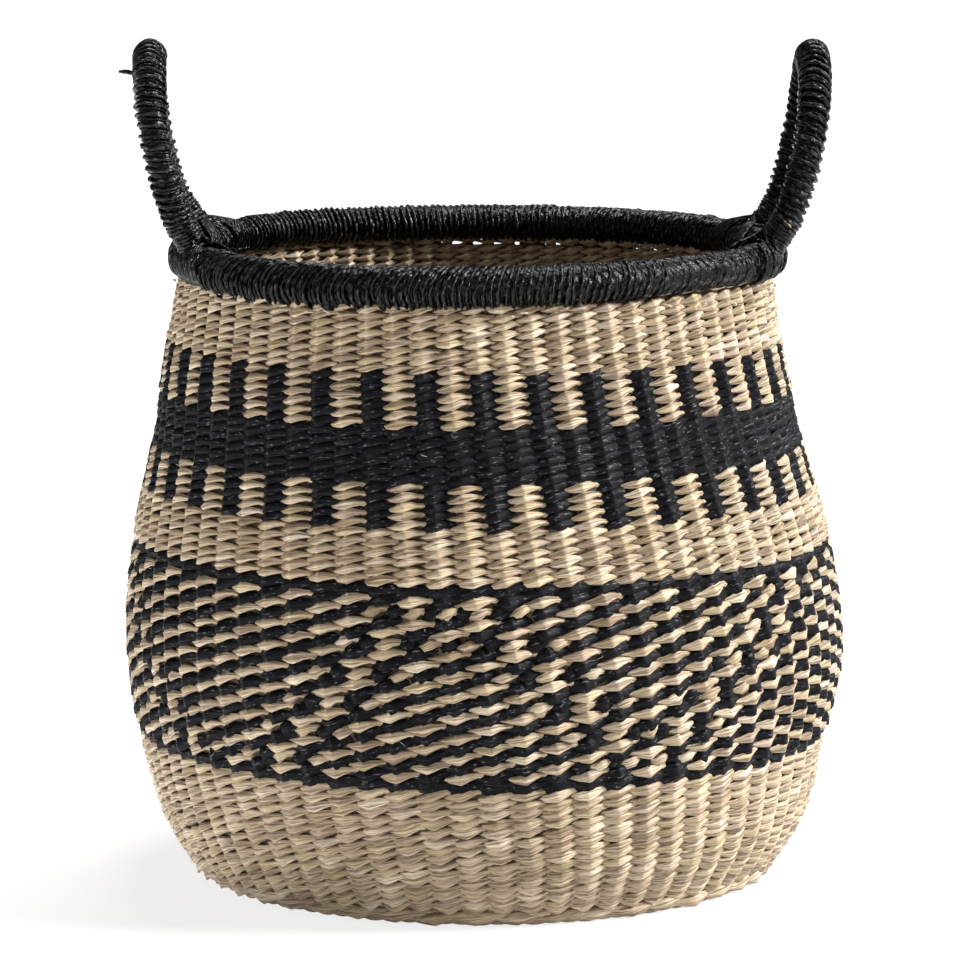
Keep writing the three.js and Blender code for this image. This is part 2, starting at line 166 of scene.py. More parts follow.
def bump(shader, height, strength, depth):
    """Relief from a wire of heights, as deep as is given in metres."""
    sockets = {"Strength": strength, "Distance": depth, "Height": height}
    feed(shader, "Normal", height.node("ShaderNodeBump", None, sockets))


def strand_wires(start):
    """The piece's own coordinates: metres along a strand and round it, and each stitch's tone."""
    along = start.node("ShaderNodeUVMap")
    tone = start.node("ShaderNodeAttribute", {"attribute_name": "tone"}, output=2)
    return along, tone


def seagrass_finish():
    """Dry undyed seagrass: tan strands with darker fibres along them, painted shade in their splits, each
    stitch a little its own.
    """
    material, start, shader = new_finish("seagrass natural", 0.5, 0.45)
    along, tone = strand_wires(start)
    fibres = along.noise((55, 1500, 1), 3.0, 0.7, "2D")
    splits = along.noise((26, 620, 1), 1.0, 0.5, "2D")
    blotches = along.noise((70, 120, 1), 2.0, 0.5, "2D")
    stops = [
        (0.0, (0.31, 0.235, 0.14)), (0.35, (0.45, 0.365, 0.245)),
        (0.7, (0.56, 0.475, 0.34)), (1.0, (0.72, 0.65, 0.51)),
    ]
    colour = start.node("ShaderNodeValToRGB", {"stops": stops}, {0: tone + blotches * 0.4 - 0.2})
    hue = start.math("FRACT", tone * 37)
    tint = start.mix(hue, (1.03, 1.0, 0.90, 1), (1.0, 0.95, 1.02, 1))
    colour = start.mix(1.0, colour, tint, "MULTIPLY")
    lighter = start.mix(fibres.between(0.35, 0.65), (0.50, 0.45, 0.39, 1), (1.18, 1.18, 1.18, 1))
    colour = start.mix(1.0, colour, lighter, "MULTIPLY")
    # Painted shade: the splits between fibres are darkened to a deep brown, the colour of shadow inside
    # them.
    split_shade = 1 - splits.between(0.36, 0.42)
    colour = start.mix(split_shade * 0.7, colour, (0.10, 0.06, 0.03, 1))
    feed(shader, "Base Color", colour)
    bump(shader, fibres * 0.5 + splits * 0.8, 0.8, 0.0008)
    return material


seagrass = seagrass_finish()
chance = np.random.RandomState(11)


def spline(points, steps=24):
    """Points close together on the smooth curve through some points."""
    points = np.array(points, float)
    padded = np.vstack([2 * points[0] - points[1], points, 2 * points[-1] - points[-2]])
    gaps = np.sqrt(np.linalg.norm(np.diff(padded, axis=0), axis=1))
    t = np.linspace(0, 1, steps, endpoint=False)[:, None]
    parts = []
    for i in range(len(points) - 1):
        a, b, c, d = padded[i:i + 4]
        before, here, after = gaps[i:i + 3]
        slope_b = here * ((b - a) / before - (c - a) / (before + here) + (c - b) / here)
        slope_c = here * ((c - b) / here - (d - b) / (here + after) + (d - c) / after)
        parts.append(
            (2 * t**3 - 3 * t**2 + 1) * b + (t**3 - 2 * t**2 + t) * slope_b
            + (3 * t**2 - 2 * t**3) * c + (t**3 - t**2) * slope_c
        )
    return np.vstack([*parts, points[-1]])


class Profile:
    """The outer face of the weave in section, as distances along a line of (radius, height)."""

    def __init__(self, points):
        self.line = spline(points)
        steps = np.linalg.norm(np.diff(self.line, axis=0), axis=1)
        self.at = np.concatenate([[0], np.cumsum(steps)])
        self.slope = np.gradient(self.line, self.at, axis=0)
        self.slope /= np.linalg.norm(self.slope, axis=1)[:, None]

    def distance(self, height):
        """How far along the line a height is."""
        return float(np.interp(height, self.line[:, 1], self.at))

    def place(self, distance):
        """Radius, height, and the direction of the line there."""
        return [np.interp(distance, self.at, v) for v in (*self.line.T, *self.slope.T)]


def unit(vectors):
    return vectors / np.linalg.norm(vectors, axis=-1, keepdims=True)


def square_to(ahead, normal):
    """The direction nearest to a normal that is square to the way ahead."""
    return unit(normal - (normal * ahead).sum(1)[:, None] * ahead)


def tube(path, normal, depth, width, sides, closed, edge=1.0):
    """Rings of points round a path, which reach a depth out along the normal and a width across it
    on each side. An edge above 1 makes the rings lens-shaped."""
    if closed:
        ahead = np.roll(path, -1, axis=0) - np.roll(path, 1, axis=0)
    else:
        ahead = np.gradient(path, axis=0)
    ahead = unit(ahead)
    normal = square_to(ahead, normal)
    across = np.cross(normal, ahead)
    turn = np.arange(sides) * 2 * math.pi / sides
    thick = np.sign(np.cos(turn)) * np.abs(np.cos(turn)) ** edge
    out = (np.ones(len(path)) * depth)[:, None, None] * thick[None, :, None] * normal[:, None, :]
    up = (np.ones(len(path)) * width)[:, None, None] * np.sin(turn)[None, :, None] * across[:, None, :]
    return path[:, None, :] + out + up


def skin(name, tubes):
    """One mesh of many tubes. A tube is its rings, their metres along it, its tone or each ring's,
    and whether it closes. The UV map has metres along and round a tube, for the finishes, which
    look different on tubes that start at different metres."""
    places, corners, sizes, coordinates, tones = [], [], [], [], []
    first = 0
    for rings, along, tone, closed in tubes:
        count, sides = rings.shape[:2]
        here = np.arange(count if closed else count - 1)
        after = (here + 1) % count
        side = np.arange(sides)
        next_side = (side + 1) % sides
        a = here[:, None] * sides + side
        b = after[:, None] * sides + side
        c = after[:, None] * sides + next_side
        d = here[:, None] * sides + next_side
        corners.append(first + np.stack([a, b, c, d], axis=-1).reshape(-1))
        sizes.append(np.full(a.size, 4))
        girth = np.linalg.norm(np.roll(rings, -1, axis=1) - rings, axis=2).mean(axis=0)
        round_it = np.concatenate([[0], np.cumsum(girth)])
        ends = np.append(along, 2 * along[-1] - along[-2])
        u0, u1 = ends[here][:, None], ends[here + 1][:, None]
        v0, v1 = round_it[side], round_it[side + 1]
        of_quads = np.broadcast_arrays(u0, v0, u1, v0, u1, v1, u0, v1)
        coordinates.append(np.stack(of_quads, axis=-1).reshape(-1))
        places.append(rings.reshape(-1))
        tones.append(np.repeat(np.broadcast_to(tone, count), sides))
        if not closed:
            for ring, order in ((0, -1), (count - 1, 1)):
                cap = ring * sides + side[::order]
                corners.append(first + cap)
                sizes.append(np.array([sides]))
                flat = np.stack([np.full(sides, ends[ring]), round_it[side]], axis=-1)
                coordinates.append(flat.reshape(-1))
        first += count * sides
    mesh = bpy.data.meshes.new(name)
    places = np.concatenate(places)
    corners = np.concatenate(corners)
    sizes = np.concatenate(sizes)
    mesh.vertices.add(len(places) // 3)
    mesh.vertices.foreach_set("co", places.astype(np.float32))
    mesh.loops.add(len(corners))
    mesh.loops.foreach_set("vertex_index", corners.astype(np.int32))
    mesh.polygons.add(len(sizes))
    mesh.polygons.foreach_set("loop_start", np.concatenate([[0], np.cumsum(sizes)[:-1]]).astype(np.int32))
    mesh.update(calc_edges=True)
    mesh.polygons.foreach_set("use_smooth", np.ones(len(sizes), bool))
    mesh.uv_layers.new(name="UVMap").data.foreach_set("uv", np.concatenate(coordinates).astype(np.float32))
    values = np.concatenate(tones).astype(np.float32)
    mesh.attributes.new("tone", "FLOAT", "POINT").data.foreach_set("value", values)
    mesh.validate()
    piece = bpy.data.objects.new(name, mesh)
    bpy.context.scene.collection.objects.link(piece)
    return piece


def dress(piece, material, slot, body, *nodes):
    """Gives a piece its finish and the body that it rides on, and hides the nodes that it stands for."""
    piece.data.materials.clear()
    piece.data.materials.append(material)
    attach(piece, body)
    if nodes:
        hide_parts(*nodes)


def wobble(places, spread, waves=5):
    """A slow unevenness that closes on itself over a whole turn."""
    total = np.zeros(len(places))
    for wave in range(1, waves + 1):
        size, start = chance.normal(0, 1), chance.uniform(0, 2 * math.pi)
        total += size * np.sin(wave * places + start)
    return spread * total / math.sqrt(waves)


def stitch_values(turn, values):
    """One value for each stitch of a strand, run together where the strand dives."""
    where = (turn - turn[0]) / math.pi
    count = int(round(where[-1] + (where[1] - where[0])))
    values = values[:count]
    return np.interp(where, np.arange(count + 1), np.append(values, values[0]))


def round_axis(angle, out, up, aside=0):
    """Places, or directions, from how far out they lie at an angle, how far up and how far aside."""
    across = out * np.cos(angle) + aside
    return np.stack(np.broadcast_arrays(across, out * np.sin(angle), up), axis=-1)


def around_basket(column, radius, height):
    """Places round the basket. The columns lean, and the basket sways a little from its axis."""
    angle = first_column + column * 2 * math.pi / stake_count + column_lean * height / wall_top
    angle = angle + column_spread * np.sin(angle - widest_column)
    aside = np.interp(height, sway_heights, sway_aside)
    return round_axis(angle, radius, height, aside), angle


def course(profile, distance, pitch, columns, turn_shift, look=plain_look, slips=(), relief=1.0):
    """One strand of a twined course, all the way round the basket. It lies outermost over every
    second stake, in a stitch that rises to the right. At a slip it makes a whole turn more, in
    shorter stitches. A look is how wide a stitch and its tips are and how far it rises, as shares
    of the pitch, how far its tips and its outer half reach from its stake, in columns, and how
    round it bends over the stake, from 0 for a sharp crease."""
    widest, tip, rise, reach, outer_reach, roundness = look
    column = (np.arange(columns)[:, None] - columns / 2 + np.array(strand_places)).ravel()
    turn = math.pi * (column - 0.5 + turn_shift)
    for place in slips:
        turn = turn + 2 * math.pi * np.clip((column - place) / slip_length + 0.5, 0, 1)
    stitches = columns + 2 * len(slips)
    lift, climb, swell, roll, wider = [
        spread * stitch_values(turn, values)
        for spread, values in zip(stitch_spreads, chance.normal(0, 1, (len(stitch_spreads), stitches)))
    ]
    away = np.abs(np.mod(turn / math.pi + 1, 2) - 1)
    over = np.interp(away, (0, outer_reach, 1), (1, 0, -1))
    over = over + roundness * (np.cos(math.pi * away) - over)
    diving = np.sin(turn)
    lift = lift * pitch + wobble(column * 2 * math.pi / columns, wander_share * pitch)
    climb = pitch * (rise + climb)
    radius, height, out_slope, up_slope = profile.place(distance + lift + climb * diving)
    bulge = relief * strand_bulge + swell
    offset = over * np.where(over > 0, 1, inner_bulge) * bulge - sheet_middle + tip_overlap * diving
    coarser = stake_count / columns
    wall_column = column * coarser - (coarser - 1) / 2
    path, angle = around_basket(wall_column, radius + up_slope * offset, height - out_slope * offset)
    roll = shingle_angle * over + roll
    facing = up_slope * np.cos(roll) + out_slope * np.sin(roll)
    facing_up = -out_slope * np.cos(roll) + up_slope * np.sin(roll)
    normal = round_axis(angle, facing, facing_up)
    spread = np.maximum(1 - away / reach, 1 - (1 - away) / inner_reach)
    width = pitch * (tip + (widest + wider - tip) * np.clip(spread, 0, 1) ** (1 - tip_lean * diving))
    rings = tube(path, normal, strand_depth, width, strand_sides, True, strand_edge)
    along = column * 2 * math.pi * radius.mean() / columns + chance.uniform(0, 50)
    tones = np.clip(chance.normal(0.5, tone_spread, stitches), 0, 1)
    tones = np.where(chance.uniform(0, 1, stitches) > 1 - bright_share, bright_tone, tones)
    tone = tones[np.round((turn - turn[0]) / math.pi + 0.5).astype(int) % stitches]
    return rings, along, tone, True


base_height = 0.0013
base_margin = 0.003
base_line = Profile([(0, base_height), (foot_radius - base_margin, base_height)])
base_pitch = 0.0046
base_count = 28
first_ring = 0.014
stakes_from = 0.080  # from here out there are twice as many canes to go round
base_courses = {spoke_count: [], stake_count: []}
for ring in range(base_count):
    from_middle = first_ring + ring * base_pitch
    columns = spoke_count if from_middle < stakes_from else stake_count
    for which in (0, 1):
        made = course(base_line, from_middle, base_pitch, columns, which, tight_look)
        base_courses[columns].append(made)
for name, courses in zip(("base_middle_strands", "base_outer_strands"), base_courses.values()):
    dress(skin(name, courses), seagrass, "seagrass_natural", "basket", "base_weave", "inner_weave")


# The canes. Flat split staves are the stakes that hold the wall, from the foot to the rim, and
# show between the strands here and there. The spokes, the rim's hoop and the handles' cores are
# hidden canes. They keep the CAD's shape and only get a finish.

def cane_finish(name, dark, light):
    """Peeled split cane: brown with fine lines along its length."""
    material, start, shader = new_finish(name, 0.55, 0.35)
    place = start.node("ShaderNodeTexCoord", output=3)
    grain = place.noise((900, 900, 30), 3.0, 0.6)
    colour = start.mix(grain.between(0.3, 0.7), dark, light)
    feed(shader, "Base Color", colour)
    bump(shader, grain, 0.4, 0.0004)
    return material


cane = cane_finish("split cane", (0.16, 0.10, 0.05, 1), (0.30, 0.21, 0.12, 1))
# A darker copy of the split cane for the staves and the handles' cores: the cane's own brown, darkened
# further as painted shade, since these show only in the gaps between strands and cords.
shade_darkened_cane = cane_finish("dark cane", (0.03, 0.018, 0.009, 1), (0.075, 0.046, 0.024, 1))
for name, finish in (("base_spokes", cane), ("rim_hoop", cane),
                     ("handle_core_right", shade_darkened_cane), ("handle_core_left", shade_darkened_cane)):
    frame["nodes"][name].data.materials.clear()
    frame["nodes"][name].data.materials.append(finish)

wall_line = Profile([
    (0.1440, 0.0015), (0.1523, 0.0104), (0.1633, 0.0299), (0.1732, 0.0690),
    (0.1800, 0.1150), (0.1743, 0.1696), (0.1629, 0.2169), (0.1554, 0.2560), (0.1508, 0.2800),
    (0.1475, 0.3000), (0.1462, 0.3040),
])
stave_thickness = 0.0010
stave_share = 1.3  # of a column's width
stave_foot = 0.007
stave_levels = 28
stave_tone = 0.5
# Right under the rim the weave stays open here and there, where a stave is narrow above a height.
slot_heights = (0.2972, 0.2985)
slot_share = 0.35  # of a column's width
slot_angles = (38, 97)  # degrees, behind on the right
closed_share = 0.35  # of the staves there
staves = []
levels = np.linspace(wall_line.distance(stave_foot), wall_line.distance(slot_heights[0]), stave_levels - 2)
levels = np.append(levels, [wall_line.distance(slot_heights[1]), wall_line.at[-1]])
for stake in range(stake_count):
    radius, height, out_slope, up_slope = wall_line.place(levels)
    path, angle = around_basket(
        stake + 0.5 + 0 * levels, radius - up_slope * sheet_middle, height + out_slope * sheet_middle
    )
    facing = round_axis(angle, up_slope, -out_slope)
    is_behind = slot_angles[0] < math.degrees(angle[-1]) < slot_angles[1]
    is_open = is_behind and chance.uniform(0, 1) > closed_share
    share = np.interp(height, slot_heights, (stave_share, slot_share if is_open else stave_share))
    half_width = share * math.pi * radius / stake_count
    rings = tube(path, facing, stave_thickness / 2, half_width, strand_sides, False)
    staves.append((rings, levels + stake, stave_tone, False))
dress(skin("stake_staves", staves), shade_darkened_cane, "split_cane", "basket", "side_stakes")


# The wall. The courses go on up round the stakes, natural and black, from the foot to the rim.
# Where a course has one strand of each colour, the black one shows on every second stake.

def black_finish():
    """Seagrass dyed blue-black: fine fibres along it, pale specks painted on as glints, and a broken gloss.
    """
    material, start, shader = new_finish("seagrass black", 0.5, 0.14)
    along, tone = strand_wires(start)
    fibres = along.noise((50, 1300, 1), 2.0, 0.6, "2D")
    glint_specks = along.noise((260, 900, 1), 2.0, 0.6, "2D")
    line = fibres.between(0.48, 0.66)
    colour = start.mix(line, (0.0010, 0.0010, 0.0016, 1), (0.008, 0.0075, 0.012, 1))
    # Painted highlights: pale specks that stand for glints of light on the black fibres.
    colour = start.mix(glint_specks.between(0.65, 0.73) * 0.6, colour, (0.20, 0.19, 0.20, 1))
    feed(shader, "Base Color", colour)
    feed(shader, "Roughness", 0.6 - line * 0.3 + tone * 0.1)
    bump(shader, fibres, 0.7, 0.0005)
    return material


black_seagrass = black_finish()

# The courses of each band, from the rim down: how many, the height of the band's lower edge, and
# the pieces that its two strands belong to. Fixed bands keep each colour on its own stakes.
bands = [
    ("top_natural", 8, 0.2680, "top_natural", "top_natural"),
    ("upper_teeth", 6, 0.2425, "black_band", "top_natural"),
    ("black", 6, 0.2170, "black_band", "black_band"),
    ("lower_teeth", 5, 0.1960, "black_band", "middle_natural"),
    ("middle_natural", 6, 0.1700, "middle_natural", "middle_natural"),
    ("upper_border", 1, 0.1654, "upper_border", "upper_border"),
    ("belly", 18, 0.0754, "belly_black", "belly_natural"),
    ("lower_border", 1, 0.0708, "lower_border", "lower_border"),
    ("lower_natural", 15, 0.0060, "lower_natural", "lower_natural"),
]
# Each piece's colour and the node that it stands for.
wall_pieces = {
    "top_natural": ("natural", "top_natural_band"),
    "black_band": ("black", "black_toothed_band"),
    "middle_natural": ("natural", "middle_natural_band"),
    "upper_border": ("black", "upper_black_border"),
    "belly_black": ("black", "patterned_belly_band"),
    "belly_natural": ("natural", "patterned_belly_band"),
    "lower_border": ("black", "lower_black_border"),
    "lower_natural": ("natural", "lower_natural_band"),
}
strands = {name: [] for name in wall_pieces}

# In the belly band the colours change stakes from course to course, which gives its slanting runs.
# In every third course the strands slip here and there: they twist faster for a few stakes. The
# slips lie along lines, given by their column at the top and their drift from one to the next.
belly_slips = ((-0.2, -1.05), (1.5, 0.87), (13.2, -1.3), (20, 0.9), (31, -1.1), (-15, 1.0), (-25, -0.9))
slip_every = 3

# The looks of the stitches, by a strand's and its neighbour's colour, and how far they stand out.
long_look = (0.68, 0.12, 0.30, 0.84, 0.5, 0.9)
looks = {
    ("natural", "natural"): plain_look,
    ("natural", "black"): (0.66, 0.02, 0.28, 0.76, 0.64, 0.2),
    ("black", "natural"): (0.76, 0.40, 0.30, 0.90, 0.36, 0),
    ("black", "black"): (0.76, 0.45, 0.26, 1, 0.5, 0),
}
relief_of = {"lower_natural": 0.75, "black": 0.8, "upper_border": 0.6, "lower_border": 0.6}

# One more course than is seen goes up into the rim.
hidden_share = 0.95  # of the pitch, above the wall's top
hidden_relief = 0.7
top_line = wall_line.distance(wall_top)
top_pitch = (top_line - wall_line.distance(bands[0][2])) / bands[0][1]
for which in (0, 1):
    distance = top_line + hidden_share * top_pitch
    made = course(wall_line, distance, top_pitch, stake_count, which, relief=hidden_relief)
    strands["top_natural"].append(made)

upper_edge = top_line
for band, count, lower_height, *names in bands:
    colours = [wall_pieces[name][0] for name in names]
    lower_edge = wall_line.distance(lower_height)
    pitch = (upper_edge - lower_edge) / count
    for row in range(count):
        distance = upper_edge - (row + 0.5) * pitch
        slips, shift = (), 0
        if band == "belly":
            shift = row % 2
            if row % slip_every == 1:
                slips = [place + drift * (row // slip_every) for place, drift in belly_slips]
        for which, name in enumerate(names):
            look = long_look if band == "lower_natural" else looks[colours[which], colours[1 - which]]
            relief = relief_of.get(band, 1.0)
            made = course(wall_line, distance, pitch, stake_count, shift + which, look, slips, relief)
            strands[name].append(made)
    upper_edge = lower_edge
for name, courses in strands.items():
    colour, node = wall_pieces[name]
    material = seagrass if colour == "natural" else black_seagrass
    dress(skin(name + "_strands", courses), material, "seagrass_" + colour, "basket", node)


# The foot wale: a thicker course of undyed strands that edges the base. The basket stands on it.
# Three strands twist round each other under the wall's edge, and two lie over them in long stitches.

wale_radius = 0.1413
wale_height = 0.0033
wale_count = 3
wale_cord = 0.0019
wale_flatness = 1.1
wale_twist = 0.0012  # from the middle of the three to the middle of one
wale_twists = 34
wale_steps = wale_twists * 12  # points round the basket
wale_wander = (0.0003, 0.0002)  # out and up
wale_tone = 0.4
wale_strands = []
around = np.arange(wale_steps) * 2 * math.pi / wale_steps
for which in range(wale_count):
    turn = around * wale_twists + which * 2 * math.pi / wale_count
    radius = wale_radius + wale_twist * np.cos(turn) + wobble(around, wale_wander[0])
    height = wale_height + wale_twist * np.sin(turn) + wobble(around, wale_wander[1])
    path = round_axis(around, radius, height, sway_aside[0])
    rings = tube(path, round_axis(around, 1, 0), wale_cord, wale_cord * wale_flatness, strand_sides, True)
    wale_strands.append((rings, around * wale_radius + 7 * which, wale_tone, True))

wale_line = Profile([(0.1472, -0.0012), (0.1490, 0.0028), (0.1504, 0.0068)])
cover_height = 0.0036
cover_pitch = 0.0056
cover_columns = 50
cover_relief = 0.45
for which in (0, 1):
    at = wale_line.distance(cover_height)
    made = course(wale_line, at, cover_pitch, cover_columns, which, long_look, relief=cover_relief)
    wale_strands.append(made)
dress(skin("foot_wale_strands", wale_strands), seagrass, "seagrass_natural", "basket", "foot_wale")


# The rim. A stiff hoop lies along the tips of the stakes, padded with black grass, and black
# cord of loose fibres is wound round it. Each turn is pulled through the top course of the weave.

mouth_radius = 0.143
rim_height = frame["joints"][0]["pos_m"][2]
rim_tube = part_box("rim_lashing")[1].z - rim_height
rim_turns = 272
rim_looseness = 0.0004
feet_apart = 0.076  # the two feet of a handle
foot_angle = math.asin(feet_apart / 2 / mouth_radius)
feet = [middle + side * foot_angle for middle in (0, math.pi) for side in (-1, 1)]
waist = 0.0095  # the rim's radius under a foot's binding
waist_end = 0.004  # over which it gets thicker again
binding_half = 0.0095  # half of what a binding covers of the rim
cords_proud = 0.0003  # how far a winding's crests stand out
padding_depth = 0.0012
padding_sides = 12
padding_tone = 0.1

# Hand work isn't level. These run from the left over the front, the right and the back to the left:
# the angle in degrees, how far the rim rises, how far its turns hang out below, how much thinner
# it is, and how far its turns are drawn along it on top.
rim_sides = (-180, -135, -90, -45, 0, 45, 90, 135, 180)
rim_lift = (-0.0004, -0.0022, -0.0006, 0.0008, 0, 0.0012, 0.0010, 0.0018, -0.0004)
rim_droop = (0.0008, 0.0036, 0.0031, 0.0005, 0, 0.0006, 0.0008, 0.0008, 0.0008)
rim_thin = (0, 0, 0, 0.0010, 0.0005, 0, 0, 0, 0)
rim_draw = (0.003, 0.003, 0.0026, -0.0012, -0.0012, 0.001, 0.003, 0.003, 0.003)
draw_peak, draw_reach = 0.016, 0.010  # along the rim from a foot, where they are drawn twice as far
# It bulges between the left feet and dips between the right ones: how far, and over what angle.
bulge_depth, bulge_angle = 0.0034, 0.20  # radians
dip_depth, dip_angle = 0.0018, 0.45

# The cord: black fibres twisted in plies.
cord_twist = math.radians(24)  # how far the fibres run slantwise to the cord
ply_length = 0.0052  # along the cord, from one ply to the next
cord_girth = 0.0067
cord_flatness = 0.95
cord_sides = 6
cord_unevenness = 0.12


def cord_finish():
    """Black twisted cord: plies and fibres that run slantwise round it, pale highlights painted on the
    crests of its plies, and a gloss on its crests.
    """
    material, start, shader = new_finish("black cord", 0.4, 0.19)
    along, tone = strand_wires(start)
    twisted = start.node("ShaderNodeMapping", None, {"Vector": along, "Rotation": (0, 0, cord_twist)})
    fibres = twisted.noise((260, 1700, 1), 2.0, 0.6, "2D")
    lumps = along.noise((190, 420, 1), 1.0, 0.5, "2D")
    lengthwise = start.node("ShaderNodeSeparateXYZ", None, {0: along})
    crosswise = start.node("ShaderNodeSeparateXYZ", None, {0: along}, 1)
    twist = lengthwise * (2 * math.pi / ply_length) + crosswise * (2 * math.pi / cord_girth)
    ply = start.math("SINE", twist + lumps * 2.5)
    crest = start.math("COSINE", crosswise * (2 * math.pi / cord_girth))
    line = fibres.between(0.42, 0.62)
    # Painted highlights: pale streaks on the crests of the plies, where light catches the cord. Cords of
    # low tone, the deeper ones and the padding, get less of them.
    crest_sheen = fibres.between(0.50, 0.66) * ply.between(-0.5, 0.6) * crest.between(0.25, 0.9)
    crest_sheen = crest_sheen * (tone.between(0.2, 0.9) * 0.8 + 0.2)
    colour = start.mix(crest_sheen, (0.0006, 0.0006, 0.0007, 1), (0.15, 0.155, 0.165, 1))
    colour = start.mix(tone.between(0.8, 1.0) * 0.6, colour, (0.05, 0.05, 0.048, 1))
    feed(shader, "Base Color", colour)
    feed(shader, "Roughness", 0.38 - line * 0.18 - crest * 0.05)
    bump(shader, fibres * 0.35 + lumps * 0.3 + ply * 0.33, 0.7, 0.0010)
    return material


black_cord = cord_finish()


def knots(places, spread, per_turn, closed):
    """Uneven values along a winding, a few to a turn."""
    count = int(places[-1] * per_turn) + 2
    values = chance.normal(0, spread, count)
    if closed:
        values[-1] = values[0]
    return np.interp(places * per_turn, np.arange(count), values)


# Round a turn, in radians up from its outermost point: where its slant turns over, and where it
# hangs out lowest.
slant_beat = 0.96
droop_beat = -1.15
steps_per_turn = 20
changes_per_turn = 8  # of a cord's place and thickness


def winding(core, out, side, radius, turns, closed, cords, slant, loose, droop):
    """Cords wound side by side round a core. The core is a line of points, with two directions
    across it and the winding's outer radius at each. A cord is how far beside the first it lies,
    how deep under the outside, its radius and its tone. A slant draws the turns along as they go
    over the top, and a droop lets them hang out below, both given along the core."""
    length = np.linalg.norm(np.diff(core, axis=0), axis=1).sum()
    at = np.linspace(0, 1, len(core))
    turn = np.arange(turns * steps_per_turn + (0 if closed else 1)) / steps_per_turn
    beat = 2 * math.pi * turn
    lean = np.sin(beat - slant_beat) + 0.25 * np.sin(2 * (beat - slant_beat))
    below = np.maximum(0, np.cos(beat - droop_beat)) ** 2
    hang = np.interp(turn / turns, at, droop) * below * (0.9 + knots(turn, 0.25, 1, closed))
    gather = knots(turn, 0.7 * loose, 1, closed)
    drift = knots(turn, 0.7 * loose, 1, closed)
    made = []
    for number, (beside, depth, size, shade) in enumerate(cords):
        place = beside + drift + knots(turn, 0.7 * loose, changes_per_turn, closed)
        share = turn / turns + (place + np.interp(turn / turns, at, slant) * lean) / length
        share = np.mod(share, 1) if closed else np.clip(share, 0, 1)
        middle, outwards, sideways = [
            np.stack([np.interp(share, at, line[:, axis]) for axis in range(3)], axis=1)
            for line in (core, out, side)
        ]
        normal = unit(np.cos(beat)[:, None] * outwards + np.sin(beat)[:, None] * sideways)
        rise = np.interp(share, at, radius) - size - depth + gather + hang
        rise = rise + knots(turn, 0.5 * loose, changes_per_turn, closed)
        path = middle + rise[:, None] * normal
        fat = size * (1 + knots(turn, cord_unevenness, changes_per_turn, closed))
        rings = tube(path, normal, fat, fat * cord_flatness, cord_sides, closed)
        along = np.cumsum(np.linalg.norm(np.diff(path, axis=0, append=path[-1:]), axis=1)) + 3 * number
        tones = np.clip(chance.normal(shade, tone_spread, turns + 2), 0, 1)
        made.append((rings, along, tones[turn.astype(int)], closed))
    return made


def rim_place(angle):
    """The rim's radius and height at an angle, and the angle in degrees from the right."""
    turned = np.angle(np.exp(1j * angle))
    bulge = bulge_depth * np.exp(-((math.pi - np.abs(turned)) / bulge_angle) ** 2)
    dip = dip_depth * np.exp(-(turned / dip_angle) ** 2)
    degrees = np.degrees(turned)
    return mouth_radius + bulge - dip, rim_height + np.interp(degrees, rim_sides, rim_lift), degrees


around = np.linspace(0, 2 * math.pi, 721)
rim_out = round_axis(around, 1, 0)
rim_up = round_axis(around, 0, 1)
core_radius, core_height, degrees = rim_place(around)
rim_core = round_axis(around, core_radius, core_height)
from_foot = mouth_radius * np.min([np.abs(np.angle(np.exp(1j * (around - foot)))) for foot in feet], axis=0)
filled = np.clip((from_foot - binding_half) / waist_end, 0, 1)
rim_radius = waist + (rim_tube + cords_proud - np.interp(degrees, rim_sides, rim_thin) - waist) * filled
near_feet = np.exp(-((from_foot - draw_peak) / draw_reach) ** 2)
rim_slant = np.interp(degrees, rim_sides, rim_draw) * (1 + near_feet)
rim_hang = np.interp(degrees, rim_sides, rim_droop)
# The cord itself, one under it that closes the gaps, and one of its fibres that lies loose on it.
rim_cords = ((0, 0, 0.00106, 0.5), (0.0017, 0.0015, 0.0008, 0.1), (0.0003, 0, 0.00026, 0.85))
lashing = winding(
    rim_core, rim_out, rim_up, rim_radius, rim_turns, True, rim_cords, rim_slant, rim_looseness, rim_hang
)
padding_radius = waist - padding_depth
padding = tube(rim_core[:-1], rim_out[:-1], padding_radius, padding_radius, padding_sides, True)
lashing.append((padding, around[:-1] * mouth_radius, padding_tone, True))
dress(skin("rim_cord", lashing[::3]), black_cord, "lashing_black", "basket", "rim_lashing")
dress(skin("rim_under_cord", lashing[1:3]), black_cord, "lashing_black", "basket", "rim_lashing")


# The handles. Each is a stiff bundle bent to an arch and wound with the same cord from foot to
# foot. A foot stands on the rim's outer shoulder.

arch_half_width = 0.044
arch_shoulder = 0.042  # over the rim's middle, where the arch is widest
handle_lean = 0.014  # from the end of a foot to the top, outwards
foot_tilt = math.radians(31)
foot_start = 0.0040  # from the rim's middle
foot_end = 0.0247
handle_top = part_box("handle_wrap_right")[1].z - cords_proud
handle_radius = 0.00825
leg_radius = 0.00725
handle_turns = 68
handle_length = 0.25
handle_looseness = 0.00024
handle_slant = 0.0006
handle_padding = 0.0019  # under the cords' outside
handle_twist = {"right": 0, "left": 0.0028}  # how far its legs stand out and in of their place
twist_height = 0.03  # over the rim, where the whole twist is reached
handle_bow = {"right": 0, "left": 0.0013}  # how far it bows out halfway up
bow_start = 0.01  # over the rim
bow_margin = 0.015  # of the handle's height that isn't bowed, at both ends together
handle_cords = ((0, 0, 0.00125, 0.45), (0.0015, 0.0011, 0.0008, 0.3), (0.0004, 0.0001, 0.00026, 0.85))


